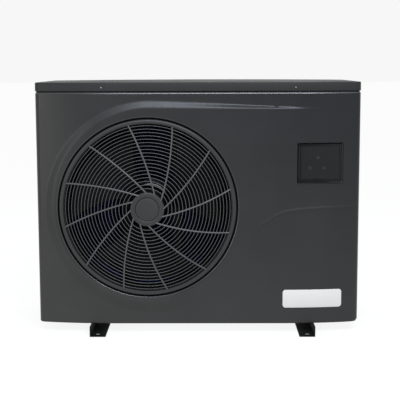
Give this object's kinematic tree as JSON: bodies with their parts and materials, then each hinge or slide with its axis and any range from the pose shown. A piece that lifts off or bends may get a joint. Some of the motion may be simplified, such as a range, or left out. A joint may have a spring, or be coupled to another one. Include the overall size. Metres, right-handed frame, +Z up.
{
  "type": "pool heat pump",
  "caption": "Dark grey plastic-cased pool heat pump with a round swirl grille at the front left, a swept raised panel, a recessed controller pocket and two sheet metal feet.",
  "frame": {"origin": "on the floor at the centre of the four anchor slots in the foot rails", "axes": "+X to the right seen from the front, front faces -Y, +Z up"},
  "size_m": [0.8635, 0.434, 0.679],
  "materials": {
    "casing_plastic": "satin",
    "grille_plastic": "satin",
    "dark_metal": "satin",
    "galvanised": "satin",
    "blue_fins": "satin",
    "copper": "satin",
    "brass": "satin",
    "black_plastic": "matt",
    "fan_plastic": "matt",
    "steel": "satin",
    "rubber": "matt",
    "titanium": "satin",
    "pvc": "gloss",
    "board_green": "satin",
    "smoked": "gloss",
    "badge": "gloss"
  },
  "bodies": {
    "casing": {"accumulator": "dark_metal", "badge_plate": "badge", "base_pan": "galvanised", "cable_glands": "black_plastic", "coil_end_plates": "galvanised", "coil_return_bends": "copper", "compressor": "dark_metal", "compressor_grommets": "rubber", "compressor_studs": "steel", "control_box": "galvanised", "control_box_cover": "galvanised", "controller_body": "black_plastic", "corner_post": "casing_plastic", "display_window": "smoked", "divider": "galvanised", "drain_nozzle": "black_plastic", "evaporator_fins": "blue_fins", "evaporator_lines": "copper", "exchanger_mounting": "black_plastic", "exchanger_shell": "black_plastic", "expansion_valve": "brass", "fan_grille": "grille_plastic", "fan_motor": "steel", "flow_switch": "black_plastic", "foot_fasteners": "steel", "foot_rail_left": "dark_metal", "foot_rail_right": "dark_metal", "four_way_valve": "brass", "front_panel": "casing_plastic", "gas_lines": "copper", "grille_cap": "grille_plastic", "lid": "casing_plastic", "lid_screws": "steel", "liquid_line_and_drier": "copper", "main_board": "board_green", "motor_bracket": "dark_metal", "orifice_ring": "grille_plastic", "rear_coil_guard": "dark_metal", "rear_panel": "casing_plastic", "run_capacitor": "steel", "service_cover": "casing_plastic", "side_panel_left": "casing_plastic", "side_panel_right": "casing_plastic", "terminal_cap": "black_plastic", "terminals_and_contactor": "board_green", "titanium_coil": "titanium", "union_gaskets": "rubber", "union_tails": "pvc", "water_inlet_pipe": "pvc", "water_outlet_pipe": "pvc"},
    "fan": {"fan_blades": "fan_plastic", "fan_shaft": "steel", "fan_nut": "steel"},
    "cover": {"display_cover": "smoked"},
    "mode_key": {"button_mode": "black_plastic"},
    "up_key": {"button_up": "black_plastic"},
    "down_key": {"button_down": "black_plastic"},
    "paddle": {"flow_paddle": "black_plastic"},
    "inlet_nut": {"union_inlet_nut": "pvc"},
    "outlet_nut": {"union_outlet_nut": "pvc"}
  },
  "joints": [
    {"name": "fan_spin", "type": "hinge", "parent": "casing", "child": "fan", "pos_m": [-0.1435, -0.115, 0.3413], "axis": [0, -1, 0], "continuous": true},
    {"name": "display_cover_hinge", "type": "hinge", "parent": "casing", "child": "cover", "pos_m": [0.3115, -0.15, 0.5015], "axis": [-1, 0, 0], "range_deg": [0, 85]},
    {"name": "mode_key_press", "type": "slide", "parent": "casing", "child": "mode_key", "axis": [0, 1, 0], "range_m": [0, 0.0012], "stiffness_N_per_m": 200},
    {"name": "up_key_press", "type": "slide", "parent": "casing", "child": "up_key", "axis": [0, 1, 0], "range_m": [0, 0.0012], "stiffness_N_per_m": 200},
    {"name": "down_key_press", "type": "slide", "parent": "casing", "child": "down_key", "axis": [0, 1, 0], "range_m": [0, 0.0012], "stiffness_N_per_m": 200},
    {"name": "flow_paddle_hinge", "type": "hinge", "parent": "casing", "child": "paddle", "pos_m": [0.345, 0.095, 0.153], "axis": [-1, 0, 0], "range_deg": [0, 18], "stiffness_Nm_per_rad": 0.01},
    {"name": "inlet_nut_turn", "type": "hinge", "parent": "casing", "child": "inlet_nut", "pos_m": [0.345, 0.19, 0.12], "axis": [0, 1, 0], "continuous": true},
    {"name": "outlet_nut_turn", "type": "hinge", "parent": "casing", "child": "outlet_nut", "pos_m": [0.345, 0.19, 0.44], "axis": [0, 1, 0], "continuous": true}
  ]
}
